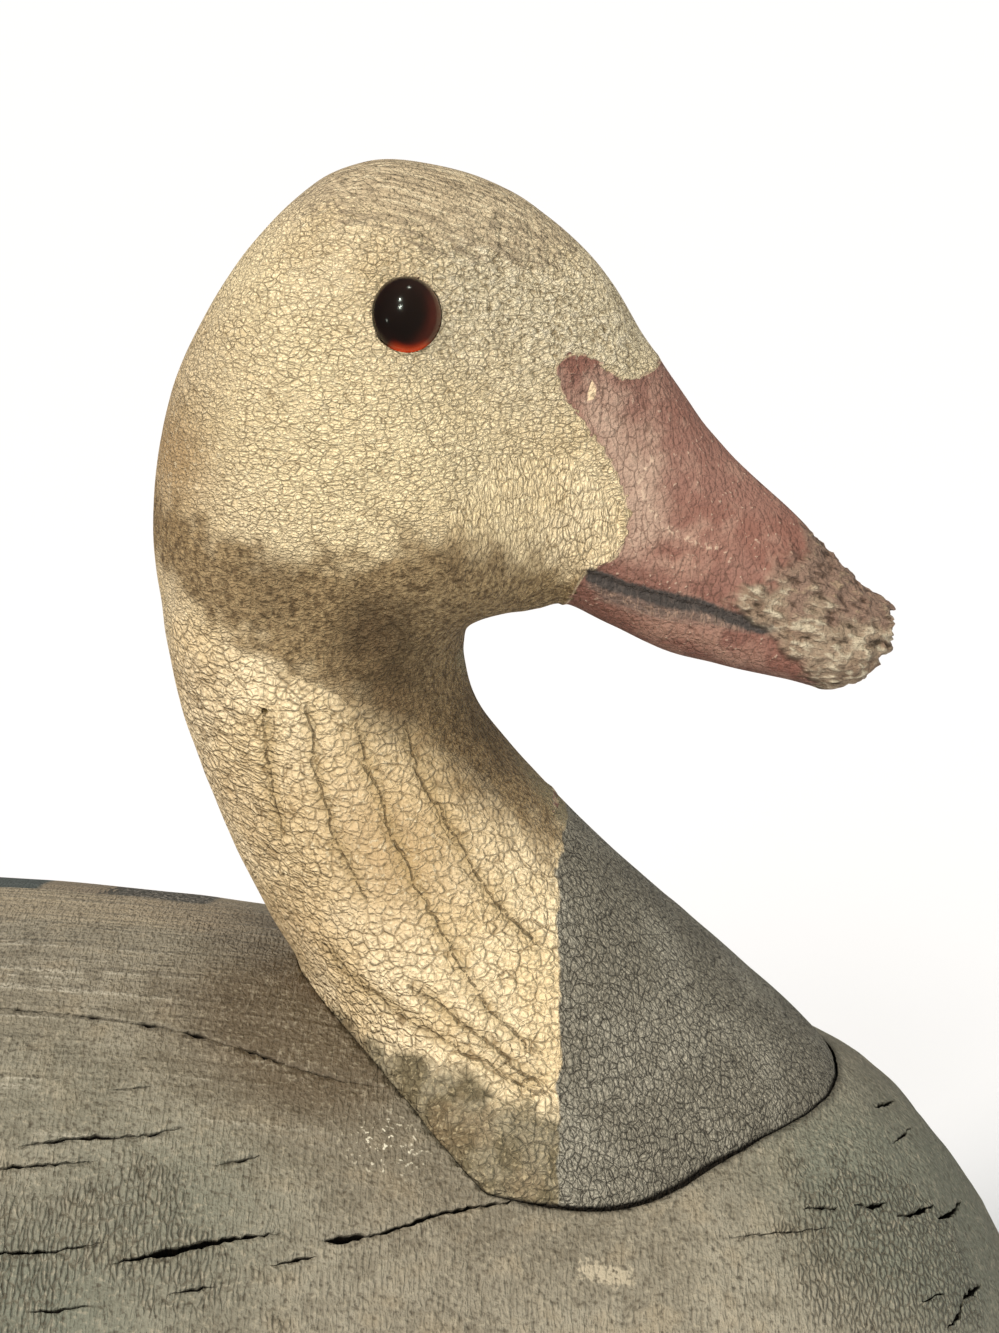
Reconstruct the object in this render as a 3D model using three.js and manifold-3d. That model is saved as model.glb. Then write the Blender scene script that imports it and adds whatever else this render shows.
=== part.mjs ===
import * as THREE from "three";
import Module from "manifold-3d";

const wasm = await Module();
wasm.setup();

// A carved goose decoy that stands on its flat underside, bill forward along +X, in mm.

// Body block
const bodyLength = 514;
const bodyWidth = 215;
const backHeight = 141.3;
const bodyRings = 42;
const bodySides = 44;

// Head and neck block, seated in a shallow recess in the back; its place and level are
// parts of the body's length and height
const headReach = 122;
const headRise = 143;
const headWidth = 55;
const neckPlace = 0.3364;
const neckSeatLevel = 0.8988;
const seatDepth = 5;
const seamGap = 0.3;
const headRings = 60;
const headSides = 36;

// Glass eyes, looking ahead and up by so many degrees from straight sideways
const eyeDiameter = 11.6;
const eyeDome = 3.6;
const eyeBack = 3.4;
const eyeSink = 1.1;
const eyeForward = -0.21;
const eyeUp = 0.858;
const eyeLookAhead = 33;
const eyeLookUp = 9;
const eyeSides = 24;
const eyeBands = 7;

// Body stations from tail to breast: place along the length, top, bottom, half width,
// height of the widest line, roundness above it and roundness below it
const bodyStations = [
  [-0.5, 0.672, 0.672, 0, 0.672, 2, 2],
  [-0.499, 0.694, 0.651, 0.121, 0.672, 2, 2],
  [-0.493, 0.711, 0.633, 0.223, 0.672, 2, 2],
  [-0.48, 0.724, 0.602, 0.307, 0.665, 2.1, 2],
  [-0.448, 0.736, 0.524, 0.381, 0.651, 2.1, 2.1],
  [-0.399, 0.757, 0.354, 0.465, 0.623, 2.1, 2.1],
  [-0.341, 0.793, 0.141, 0.577, 0.559, 2.1, 2.2],
  [-0.276, 0.839, -0.007, 0.698, 0.51, 2.1, 2.3],
  [-0.195, 0.892, -0.057, 0.819, 0.467, 2.1, 2.5],
  [-0.097, 0.948, -0.071, 0.912, 0.453, 2.1, 2.6],
  [0, 0.987, -0.071, 0.977, 0.446, 2.1, 2.6],
  [0.078, 1, -0.071, 0.998, 0.439, 2.1, 2.6],
  [0.15, 0.999, -0.071, 1, 0.439, 2, 2.6],
  [0.214, 0.98, -0.071, 0.995, 0.439, 1.9, 2.6],
  [0.292, 0.938, -0.064, 0.949, 0.432, 1.7, 2.5],
  [0.335, 0.909, -0.057, 0.902, 0.428, 1.65, 2.4],
  [0.389, 0.878, -0.043, 0.8, 0.425, 1.7, 2.3],
  [0.42, 0.842, -0.021, 0.716, 0.421, 1.8, 2.2],
  [0.448, 0.773, 0.021, 0.605, 0.418, 1.9, 2.1],
  [0.467, 0.692, 0.085, 0.484, 0.41, 1.95, 2],
  [0.482, 0.609, 0.156, 0.353, 0.403, 2, 2],
  [0.493, 0.524, 0.241, 0.233, 0.396, 2, 2],
  [0.499, 0.446, 0.326, 0.102, 0.389, 2, 2],
  [0.5, 0.389, 0.389, 0, 0.389, 2, 2],
];

// Head and neck stations from inside the seat, round the throat, to the broken bill:
// inner edge forward and up, outer edge forward and up, half width, widest place
// between the edges, roundness towards the inner edge and towards the outer edge
const headStations = [
  [0.366, -0.278, -0.365, -0.147, 1.709, 0.3, 1.95, 1.25],
  [0.382, -0.166, -0.381, -0.035, 1.825, 0.3, 1.95, 1.25],
  [0.382, -0.11, -0.381, 0.021, 1.655, 0.28, 1.95, 1.4],
  [0.376, -0.064, -0.384, 0.066, 1.454, 0.2, 2, 1.55],
  [0.209, 0.077, -0.432, 0.15, 1.2, 0.1, 2, 1.75],
  [0.065, 0.191, -0.485, 0.251, 1, 0.05, 2, 1.8],
  [-0.038, 0.281, -0.536, 0.388, 0.873, 0, 2, 1.9],
  [-0.128, 0.378, -0.556, 0.496, 0.836, 0, 2, 2],
  [-0.148, 0.434, -0.563, 0.602, 0.855, -0.05, 2, 2.05],
  [-0.149, 0.462, -0.551, 0.693, 0.909, -0.1, 2.1, 2.1],
  [-0.142, 0.481, -0.513, 0.794, 0.982, -0.15, 2.2, 2.2],
  [-0.123, 0.492, -0.442, 0.897, 1.011, -0.15, 2.3, 2.3],
  [-0.088, 0.5, -0.338, 0.982, 0.978, -0.15, 2.4, 2.4],
  [-0.067, 0.501, -0.277, 1.004, 0.887, -0.15, 2.4, 2.4],
  [-0.046, 0.503, -0.204, 1.005, 0.764, -0.15, 2.4, 2.4],
  [-0.004, 0.505, -0.072, 0.967, 0.596, -0.2, 2.4, 2.3],
  [0.051, 0.479, 0.032, 0.889, 0.505, -0.25, 2.3, 2.15],
  [0.119, 0.451, 0.098, 0.804, 0.455, -0.35, 2.2, 1.95],
  [0.194, 0.434, 0.188, 0.699, 0.414, -0.45, 2.1, 1.8],
  [0.284, 0.415, 0.292, 0.612, 0.382, -0.5, 2, 1.8],
  [0.353, 0.403, 0.376, 0.539, 0.342, -0.4, 2, 1.9],
  [0.395, 0.413, 0.424, 0.507, 0.276, -0.2, 2, 2],
  [0.422, 0.442, 0.441, 0.493, 0.211, 0, 2, 2],
];

// Smooth values between the rows of a table, at a given distance along it
function between(places, rows, at) {
  const last = rows.length - 1;
  let i = 0;
  while (i < last - 1 && at > places[i + 1]) {
    i += 1;
  }
  const step = places[i + 1] - places[i];
  const s = (at - places[i]) / step;
  return rows[i].map((from, c) => {
    const to = rows[i + 1][c];
    const a = tangent(places, rows, i, c) * step;
    const b = tangent(places, rows, i + 1, c) * step;
    const s2 = s * s;
    const s3 = s2 * s;
    return (
      (2 * s3 - 3 * s2 + 1) * from +
      (s3 - 2 * s2 + s) * a +
      (3 * s2 - 2 * s3) * to +
      (s3 - s2) * b
    );
  });
}

function slope(places, rows, i, c) {
  return (rows[i + 1][c] - rows[i][c]) / (places[i + 1] - places[i]);
}

function tangent(places, rows, i, c) {
  const last = rows.length - 1;
  if (i === 0) {
    return slope(places, rows, 0, c);
  }
  if (i === last) {
    return slope(places, rows, last - 1, c);
  }
  const before = places[i] - places[i - 1];
  const after = places[i + 1] - places[i];
  return (
    (slope(places, rows, i - 1, c) * after + slope(places, rows, i, c) * before) /
    (before + after)
  );
}

// Distance along a table, measured on the given columns
function distances(rows, columns) {
  const places = [0];
  for (let i = 1; i < rows.length; i += 1) {
    const moved = columns.map((c) => rows[i][c] - rows[i - 1][c]);
    places.push(places[i - 1] + Math.hypot(...moved));
  }
  return places;
}

function rounded(value, exponent) {
  return Math.sign(value) * Math.abs(value) ** (2 / exponent);
}

// A closed skin over rings of equal count, drawn together to a point at each end
function skin(start, rings, end) {
  const count = rings[0].length;
  const points = [start, ...rings.flat(), end];
  const faces = [];
  for (let j = 0; j < count; j += 1) {
    const k = (j + 1) % count;
    faces.push(0, 1 + k, 1 + j);
    for (let i = 0; i < rings.length - 1; i += 1) {
      const a = 1 + i * count;
      const b = a + count;
      faces.push(a + j, a + k, b + k, a + j, b + k, b + j);
    }
    const tip = 1 + (rings.length - 1) * count;
    faces.push(points.length - 1, tip + j, tip + k);
  }
  const geometry = new THREE.BufferGeometry().setFromPoints(points);
  geometry.setIndex(faces);
  geometry.computeVertexNormals();
  return geometry;
}

function middle(ring) {
  const sum = ring.reduce((total, p) => total.add(p), new THREE.Vector3());
  return sum.divideScalar(ring.length);
}

// The same skin moved outward, or inward where the distance is negative
function offset(geometry, distance) {
  const moved = geometry.clone();
  const position = moved.getAttribute("position");
  const normal = moved.getAttribute("normal");
  for (let i = 0; i < position.count; i += 1) {
    position.setXYZ(
      i,
      position.getX(i) + normal.getX(i) * distance,
      position.getY(i) + normal.getY(i) * distance,
      position.getZ(i) + normal.getZ(i) * distance,
    );
  }
  return moved;
}

function solidOf(geometry) {
  const mesh = new wasm.Mesh({
    numProp: 3,
    vertProperties: new Float32Array(geometry.getAttribute("position").array),
    triVerts: new Uint32Array(geometry.index.array),
  });
  mesh.merge();
  return new wasm.Manifold(mesh);
}

function geometryOf(solid) {
  const mesh = solid.getMesh();
  const geometry = new THREE.BufferGeometry();
  geometry.setAttribute("position", new THREE.BufferAttribute(mesh.vertProperties, 3));
  geometry.setIndex(new THREE.BufferAttribute(mesh.triVerts, 1));
  geometry.computeVertexNormals();
  return geometry;
}

// Body: one carved block with a raised tail
function bodyRing([along, top, bottom, half, widest, above, below]) {
  const ring = [];
  for (let j = 0; j < bodySides; j += 1) {
    const angle = (2 * Math.PI * j) / bodySides;
    const across = Math.cos(angle);
    const up = Math.sin(angle);
    const exponent = up >= 0 ? above : below;
    const reach = up >= 0 ? top - widest : widest - bottom;
    ring.push(
      new THREE.Vector3(
        along * bodyLength,
        (rounded(across, exponent) * half * bodyWidth) / 2,
        (widest + reach * rounded(up, exponent)) * backHeight,
      ),
    );
  }
  return ring;
}

const bodyPlaces = distances(bodyStations, [0, 1, 3]);
const bodyReachAlong = bodyPlaces[bodyPlaces.length - 1];
const bodyRingList = [];
for (let i = 1; i <= bodyRings; i += 1) {
  const at = (bodyReachAlong * i) / (bodyRings + 1);
  bodyRingList.push(bodyRing(between(bodyPlaces, bodyStations, at)));
}
const tailTip = middle(bodyRing(bodyStations[0]));
const breastTip = middle(bodyRing(bodyStations[bodyStations.length - 1]));
const bodySkin = skin(tailTip, bodyRingList, breastTip);

// Head and neck: one carved block, its sections standing across the outline
const seatAlong = neckPlace * bodyLength;
const seatHeight = neckSeatLevel * backHeight;

function onOutline(forward, up) {
  return new THREE.Vector3(seatAlong + forward * headReach, 0, seatHeight + up * headRise);
}

function headRing([inX, inZ, outX, outZ, half, widest, inward, outward]) {
  const inner = onOutline(inX, inZ);
  const outer = onOutline(outX, outZ);
  const ring = [];
  for (let j = 0; j < headSides; j += 1) {
    const angle = (2 * Math.PI * j) / headSides;
    const out = Math.cos(angle);
    const across = -Math.sin(angle);
    const exponent = out >= 0 ? outward : inward;
    const reach = out >= 0 ? 1 - widest : 1 + widest;
    const place = widest + reach * rounded(out, exponent);
    const point = inner.clone().lerp(outer, (1 + place) / 2);
    point.y = (rounded(across, exponent) * half * headWidth) / 2;
    ring.push(point);
  }
  return ring;
}

const headPlaces = distances(headStations, [0, 1, 2, 3, 4]);
const headReachAlong = headPlaces[headPlaces.length - 1];
const headRingList = [];
for (let i = 0; i < headRings; i += 1) {
  const at = (headReachAlong * i) / (headRings - 1);
  headRingList.push(headRing(between(headPlaces, headStations, at)));
}
const headSkin = skin(
  middle(headRingList[0]),
  headRingList,
  middle(headRingList[headRings - 1]),
);

// Centre of an eye's rim, a little under the side of the head, and the way the eye looks
function eyePlace(side) {
  const head = new THREE.Mesh(headSkin, new THREE.MeshBasicMaterial());
  head.updateMatrixWorld(true);
  const from = onOutline(eyeForward, eyeUp);
  from.y = side * headWidth * 2;
  const ray = new THREE.Raycaster(from, new THREE.Vector3(0, -side, 0));
  const centre = ray.intersectObject(head)[0].point;
  const ahead = THREE.MathUtils.degToRad(eyeLookAhead);
  const up = THREE.MathUtils.degToRad(eyeLookUp);
  const facing = new THREE.Vector3(
    Math.sin(ahead) * Math.cos(up),
    side * Math.cos(ahead) * Math.cos(up),
    Math.sin(up),
  );
  return { centre: centre.addScaledVector(facing, -eyeSink), facing };
}

// A turned form set on the axis that the eye looks along
function onEyeAxis(profile, place) {
  const geometry = new THREE.LatheGeometry(profile, eyeSides);
  const turn = new THREE.Quaternion().setFromUnitVectors(
    new THREE.Vector3(0, 1, 0),
    place.facing,
  );
  geometry.applyQuaternion(turn);
  geometry.translate(place.centre.x, place.centre.y, place.centre.z);
  return geometry;
}

function eyeProfile() {
  const radius = eyeDiameter / 2;
  const profile = [new THREE.Vector2(0, -eyeBack), new THREE.Vector2(radius, -eyeBack)];
  for (let i = 0; i <= eyeBands; i += 1) {
    const angle = (Math.PI / 2) * (i / eyeBands);
    const out = i === eyeBands ? 0 : radius * Math.cos(angle);
    profile.push(new THREE.Vector2(out, eyeDome * Math.sin(angle)));
  }
  return profile;
}

function socketProfile() {
  const radius = eyeDiameter / 2 + seamGap;
  const depth = eyeBack + seamGap;
  return [
    new THREE.Vector2(0, -depth),
    new THREE.Vector2(radius, -depth),
    new THREE.Vector2(radius, eyeDiameter),
    new THREE.Vector2(0, eyeDiameter),
  ];
}

// Putting the pieces together
const group = new THREE.Group();

function add(name, slot, color, geometry) {
  const material = new THREE.MeshStandardMaterial({ color, roughness: 0.8 });
  material.name = slot;
  const mesh = new THREE.Mesh(geometry, material);
  mesh.name = name;
  group.add(mesh);
}

const slab = wasm.Manifold.cube([bodyLength * 2, bodyWidth * 2, backHeight], true);
const belowGround = slab.translate([0, 0, -backHeight / 2]);
const recessFloor = solidOf(offset(bodySkin, -seatDepth));
const recess = solidOf(offset(headSkin, seamGap)).subtract(recessFloor);
const bodyBlock = solidOf(bodySkin).subtract(belowGround).subtract(recess);
const seat = solidOf(offset(bodySkin, seamGap - seatDepth));
let headBlock = solidOf(headSkin).subtract(seat);

const eyes = [
  ["eye_right", -1],
  ["eye_left", 1],
];
for (const [name, side] of eyes) {
  const place = eyePlace(side);
  headBlock = headBlock.subtract(solidOf(onEyeAxis(socketProfile(), place)));
  const eye = solidOf(onEyeAxis(eyeProfile(), place));
  add(name, "glass_eye", 0x2a1410, geometryOf(eye));
}

add("body", "body_paint", 0x77705f, geometryOf(bodyBlock));
add("head_and_neck", "head_paint", 0xb8a888, geometryOf(headBlock));

export default group;
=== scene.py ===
import itertools
import math

import bpy
import numpy as np
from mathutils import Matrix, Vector
from mathutils.bvhtree import BVHTree


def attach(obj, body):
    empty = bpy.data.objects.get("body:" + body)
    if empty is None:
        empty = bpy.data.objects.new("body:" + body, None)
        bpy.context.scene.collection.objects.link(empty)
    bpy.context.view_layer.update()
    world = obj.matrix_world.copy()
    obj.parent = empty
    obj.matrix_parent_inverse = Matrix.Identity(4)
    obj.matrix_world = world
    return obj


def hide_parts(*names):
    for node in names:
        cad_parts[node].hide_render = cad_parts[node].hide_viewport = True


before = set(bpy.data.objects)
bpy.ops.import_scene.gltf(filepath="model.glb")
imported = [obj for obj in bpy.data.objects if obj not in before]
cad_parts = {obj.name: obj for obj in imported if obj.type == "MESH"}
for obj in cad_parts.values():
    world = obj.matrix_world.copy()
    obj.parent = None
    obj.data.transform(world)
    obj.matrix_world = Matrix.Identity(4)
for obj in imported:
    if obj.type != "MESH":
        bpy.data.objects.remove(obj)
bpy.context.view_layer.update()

# Camera, floor and light. The decoy stands on white paper without a horizon, under soft
# daylight from the upper left, and is seen from its right side, a little from above. The
# camera is set so that its aim is drawn at 6 pixels a millimetre.
MM = 0.001
PICTURE_HEIGHT = 1333
PIXELS_PER_MM = 6
SENSOR = 36

# Places and distances in metres, as the frame has them
CAMERA_AIM = Vector((160.8, 0, 188)) * MM
CAMERA_DISTANCE = 430 * MM
CAMERA_DROP = math.radians(15)
FLOOR_SIZE = 80

# Daylight: angle round the decoy, 0 being the camera's side and 90 the bill's, height,
# spread, strength and colour
DAYLIGHT = {"window": (-45, 38, 12, 1.7, "fff8ef"), "sky": (-22, 28, 24, 1.2, "fdfbff")}

# Four small lamps, which the glass eye mirrors as two bright dots and two faint ones:
# angle round the decoy, height and strength
LAMPS = [(31, 41, 1.1), (29, 26, 1.1), (86, 58, 0.35), (-15, -2, 0.2)]
LAMP_COLOUR = "f4ffec"
LAMP_DISTANCE = 500 * MM
LAMP_RADIUS = 18 * MM
EYE_ABOUT = Vector((147, -20, 250)) * MM

# Light from all round: what lights the decoy, what its glass mirrors and what the camera sees
SURROUNDINGS = [("fcfbf8", 0.66), ("fcfbf8", 0.12), ("ffffff", 1.0)]


def rgb(code):
    """A colour written as sRGB hex, turned linear."""
    parts = [int(code[i : i + 2], 16) / 255 for i in (0, 2, 4)]
    return [((c + 0.055) / 1.055) ** 2.4 if c > 0.04045 else c / 12.92 for c in parts] + [1]


def node(tree, kind, inputs, out=0, **settings):
    """Adds a node with its settings and what goes into it, and gives one of its outputs."""
    made = tree.nodes.new(kind)
    for name, value in settings.items():
        setattr(made, name, value)
    for key, value in inputs.items():
        if isinstance(value, bpy.types.NodeSocket):
            tree.links.new(value, made.inputs[key])
        else:
            made.inputs[key].default_value = value
    return made if out is None else made.outputs[out]


def new_material(name):
    material = bpy.data.materials.new(name)
    material.use_nodes = True
    material.node_tree.nodes.clear()
    return material, material.node_tree


def coat(tree, finish):
    """Ends a material in a shader with the given finish."""
    shader = node(tree, "ShaderNodeBsdfPrincipled", finish)
    node(tree, "ShaderNodeOutputMaterial", {"Surface": shader}, out=None)


def toward(azimuth, height):
    """The way from the decoy towards a light."""
    azimuth, height = math.radians(azimuth), math.radians(height)
    level = math.cos(height)
    return Vector((math.sin(azimuth) * level, -math.cos(azimuth) * level, math.sin(height)))


def light(name, kind, power, colour):
    """A light that doesn't show through the glass of the eyes."""
    data = bpy.data.lights.new(name, kind)
    data.energy = power
    data.color = rgb(colour)[:3]
    made = bpy.data.objects.new(name, data)
    made.visible_transmission = False
    bpy.context.scene.collection.objects.link(made)
    return made


camera_data = bpy.data.cameras.new("camera")
camera_data.sensor_width = SENSOR
pixels_to_aim = PIXELS_PER_MM * CAMERA_DISTANCE / MM
camera_data.lens = SENSOR * pixels_to_aim / PICTURE_HEIGHT
camera = bpy.data.objects.new("camera", camera_data)
camera.location = CAMERA_AIM + CAMERA_DISTANCE * toward(0, math.degrees(CAMERA_DROP))
camera.rotation_euler = (math.pi / 2 - CAMERA_DROP, 0, 0)
bpy.context.scene.collection.objects.link(camera)
bpy.context.scene.camera = camera
bpy.context.scene.view_settings.view_transform = "Standard"

for name, (azimuth, height, spread, power, colour) in DAYLIGHT.items():
    sun = light(name, "SUN", power, colour)
    sun.data.angle = math.radians(spread)
    sun.rotation_euler = (-toward(azimuth, height)).to_track_quat("-Z", "Y").to_euler()
    sun.visible_glossy = False
for number, (azimuth, height, power) in enumerate(LAMPS):
    lamp = light(f"lamp_{number}", "POINT", power, LAMP_COLOUR)
    lamp.data.shadow_soft_size = LAMP_RADIUS
    lamp.location = EYE_ABOUT + LAMP_DISTANCE * toward(azimuth, height)

world = bpy.data.worlds.new("daylight")
world.use_nodes = True
tree = world.node_tree
tree.nodes.clear()
rays = node(tree, "ShaderNodeLightPath", {}, out=None)
lighting, mirrored, seen = [
    node(tree, "ShaderNodeBackground", {"Color": rgb(colour), "Strength": strength})
    for colour, strength in SURROUNDINGS
]
unseen = {0: rays.outputs["Is Glossy Ray"], 1: lighting, 2: mirrored}
unseen = node(tree, "ShaderNodeMixShader", unseen)
around = {0: rays.outputs["Is Camera Ray"], 1: unseen, 2: seen}
around = node(tree, "ShaderNodeMixShader", around)
node(tree, "ShaderNodeOutputWorld", {"Surface": around}, out=None)
bpy.context.scene.world = world

bpy.ops.object.select_all(action="DESELECT")
bpy.ops.mesh.primitive_plane_add(size=FLOOR_SIZE)
floor = bpy.context.object
floor.name = "floor"
floor.visible_glossy = False
floor_material, tree = new_material("white_paper")
coat(tree, {"Base Color": rgb("f3f3f5"), "Roughness": 0.9, "Specular IOR Level": 0.0})
floor.data.materials.append(floor_material)

# Body: one block of soft wood, sawn flat underneath and carved round, with a raised tail.
# Its skin keeps the unevenness of the knife and the ribs of the weathered grain. The tail,
# the underside and the lower half lie outside the photograph and are plainer.
BODY_LENGTH = 514
BODY_WIDTH = 215
BACK_HEIGHT = 141.3
BODY_RINGS = 310
BODY_SIDES = 300

# Shares of the rings and of the sides against shares of the length and of the turn. Both
# are closer where the photograph shows the body, towards the breast and over the back.
BODY_RINGS_AT = ([0, 0.3, 1], [0, 0.48, 1])
BODY_SIDES_AT = ([0, 0.2, 1], [0, 0.5, 1])

# Stations from tail to breast: place along the length, top, bottom, half width,
# height of the widest line, roundness above it and roundness below it
BODY_STATIONS = [
    [-0.5, 0.672, 0.672, 0, 0.672, 2, 2],
    [-0.499, 0.694, 0.651, 0.121, 0.672, 2, 2],
    [-0.493, 0.711, 0.633, 0.223, 0.672, 2, 2],
    [-0.48, 0.724, 0.602, 0.307, 0.665, 2.1, 2],
    [-0.448, 0.736, 0.524, 0.381, 0.651, 2.1, 2.1],
    [-0.399, 0.757, 0.354, 0.465, 0.623, 2.1, 2.1],
    [-0.341, 0.793, 0.141, 0.577, 0.559, 2.1, 2.2],
    [-0.276, 0.839, -0.007, 0.698, 0.51, 2.1, 2.3],
    [-0.195, 0.892, -0.057, 0.819, 0.467, 2.1, 2.5],
    [-0.097, 0.948, -0.071, 0.912, 0.453, 2.1, 2.6],
    [0, 0.987, -0.071, 0.977, 0.446, 2.1, 2.6],
    [0.078, 1, -0.071, 0.998, 0.439, 2.1, 2.6],
    [0.15, 0.999, -0.071, 1, 0.439, 2, 2.6],
    [0.214, 0.98, -0.071, 0.995, 0.439, 1.9, 2.6],
    [0.292, 0.938, -0.064, 0.949, 0.432, 1.7, 2.5],
    [0.335, 0.909, -0.057, 0.902, 0.428, 1.65, 2.4],
    [0.389, 0.878, -0.043, 0.8, 0.425, 1.7, 2.3],
    [0.42, 0.842, -0.021, 0.716, 0.421, 1.8, 2.2],
    [0.448, 0.773, 0.021, 0.605, 0.418, 1.9, 2.1],
    [0.467, 0.692, 0.085, 0.484, 0.41, 1.95, 2],
    [0.482, 0.609, 0.156, 0.353, 0.403, 2, 2],
    [0.493, 0.524, 0.241, 0.233, 0.396, 2, 2],
    [0.499, 0.446, 0.326, 0.102, 0.389, 2, 2],
    [0.5, 0.389, 0.389, 0, 0.389, 2, 2],
]

# Tool marks and grain: depth, size of a wave, which may differ along, across and up, and
# the seed of its random values
BODY_MARKS = [(0.4, 24, 1), (0.16, 8, 2), (0.2, (60, 5, 4), 3), (0.08, (30, 2.2, 2.2), 4)]

# How many random values there are, and the primes by which a corner of a grid picks one
RANDOM_VALUES = 4096
GRID_PRIMES = (73856093, 19349663, 83492791)


def distances(rows, columns):
    """Distance along a table of stations, measured on the given columns."""
    moved = np.linalg.norm(np.diff(np.array(rows)[:, columns], axis=0), axis=1)
    return np.concatenate([[0], np.cumsum(moved)])


def between(places, rows, at):
    """Smooth values between the rows of a table, at the given distances along it."""
    rows = np.array(rows, float)
    step = np.diff(places)[:, None]
    slope = np.diff(rows, axis=0) / step
    tangent = np.empty_like(rows)
    tangent[0] = slope[0]
    tangent[-1] = slope[-1]
    tangent[1:-1] = (slope[:-1] * step[1:] + slope[1:] * step[:-1]) / (step[1:] + step[:-1])
    i = np.clip(np.searchsorted(places, at, side="right") - 1, 0, len(places) - 2)
    s = ((at - places[i]) / step[i, 0])[:, None]
    return (
        (2 * s**3 - 3 * s**2 + 1) * rows[i]
        + (s**3 - 2 * s**2 + s) * step[i] * tangent[i]
        + (3 * s**2 - 2 * s**3) * rows[i + 1]
        + (s**3 - s**2) * step[i] * tangent[i + 1]
    )


def rounded(value, exponent):
    """A sine or cosine bent so that the curve it draws is squarer or more pointed."""
    return np.sign(value) * np.abs(value) ** (2 / exponent)


def body_surface(along, angle):
    """Points in mm on the body, by the share of the way from tail to breast and the angle."""
    places = distances(BODY_STATIONS, [0, 1, 3])
    station = between(places, BODY_STATIONS, along * places[-1])
    x, top, bottom, half, widest, above, below = station.T
    across = np.cos(angle)
    up = -np.sin(angle)
    exponent = np.where(up >= 0, above, below)
    reach = np.where(up >= 0, top - widest, widest - bottom)
    return np.stack(
        [
            x * BODY_LENGTH,
            rounded(across, exponent) * np.maximum(half, 0) * BODY_WIDTH / 2,
            (widest + reach * rounded(up, exponent)) * BACK_HEIGHT,
        ],
        axis=1,
    )


def vertex_places(piece):
    flat = np.zeros(len(piece.data.vertices) * 3)
    piece.data.vertices.foreach_get("co", flat)
    return flat.reshape(-1, 3)


def set_places(piece, places):
    piece.data.vertices.foreach_set("co", places.ravel())
    piece.data.update()


def normals(piece):
    flat = np.zeros(len(piece.data.vertices) * 3)
    piece.data.vertex_normals.foreach_get("vector", flat)
    return flat.reshape(-1, 3)


def only(piece):
    """Selects this piece and no other."""
    bpy.ops.object.select_all(action="DESELECT")
    bpy.context.view_layer.objects.active = piece
    piece.select_set(True)


def face_outwards(piece):
    only(piece)
    bpy.ops.object.mode_set(mode="EDIT")
    bpy.ops.mesh.select_all(action="SELECT")
    bpy.ops.mesh.normals_make_consistent(inside=False)
    bpy.ops.object.mode_set(mode="OBJECT")


def carved_block(name, surface, rings, sides, rings_at, sides_at):
    """A ball turned into a block: its poles become the two ends, its rings the sections."""
    bpy.ops.object.select_all(action="DESELECT")
    bpy.ops.mesh.primitive_uv_sphere_add(segments=sides, ring_count=rings, radius=1)
    block = bpy.context.object
    block.name = name
    ball = vertex_places(block)
    down = np.arccos(np.clip(ball[:, 2], -1, 1)) / math.pi
    down = np.round(down * rings) / rings
    turned = np.arctan2(ball[:, 1], ball[:, 0]) / (2 * math.pi) % 1
    turned = np.round(turned * sides) / sides % 1
    place = surface(np.interp(down, *rings_at), np.interp(turned, *sides_at) * 2 * math.pi)
    for pole in (0, 1):
        next_ring = np.isclose(down, abs(pole - 1 / rings))
        place[down == pole] = place[next_ring].mean(axis=0)
    set_places(block, place)
    face_outwards(block)
    bpy.ops.object.shade_smooth()
    return block


def noise(places, size, seed):
    """Smooth random values from -1 to 1, over a grid of the given size in mm."""
    values = np.random.default_rng(seed).uniform(-1, 1, RANDOM_VALUES)
    scaled = places / np.array(size, float)
    cell = np.floor(scaled).astype(np.int64)
    share = scaled - cell
    share = share * share * (3 - 2 * share)
    total = np.zeros(len(places))
    for corner in itertools.product((0, 1), repeat=3):
        which = np.bitwise_xor.reduce((cell + corner) * GRID_PRIMES, axis=1) % RANDOM_VALUES
        total += np.where(corner, share, 1 - share).prod(axis=1) * values[which]
    return total


def uneven(places, marks):
    """Height of several noises together, each given by its depth, size and seed."""
    return sum(depth * noise(places, size, seed) for depth, size, seed in marks)


body = carved_block(
    "carved_body", body_surface, BODY_RINGS, BODY_SIDES, BODY_RINGS_AT, BODY_SIDES_AT
)
raw = vertex_places(body)
set_places(body, raw + normals(body) * uneven(raw, BODY_MARKS)[:, None])

# Head and neck: one block of soft wood carved with its grain upright. A gouge has left
# soft furrows down the neck. The bill's tip is broken off and its end is torn wood.
HEAD_REACH = 122
HEAD_RISE = 143
HEAD_WIDTH = 55
SEAT_ALONG = 0.3364 * BODY_LENGTH
SEAT_HEIGHT = 0.8988 * BACK_HEIGHT
HEAD_RINGS = 390
HEAD_SIDES = 220
END_CAP = 0.03

# Shares of the rings against shares of the way from foot to bill: close from the neck on,
# closest at the torn end
HEAD_RINGS_AT = ([0, 0.03, 0.86, 0.965, 1], [0, 0.1, 0.92, 1, 1 + END_CAP])
HEAD_SIDES_AT = ([0, 1], [0, 1])

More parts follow.
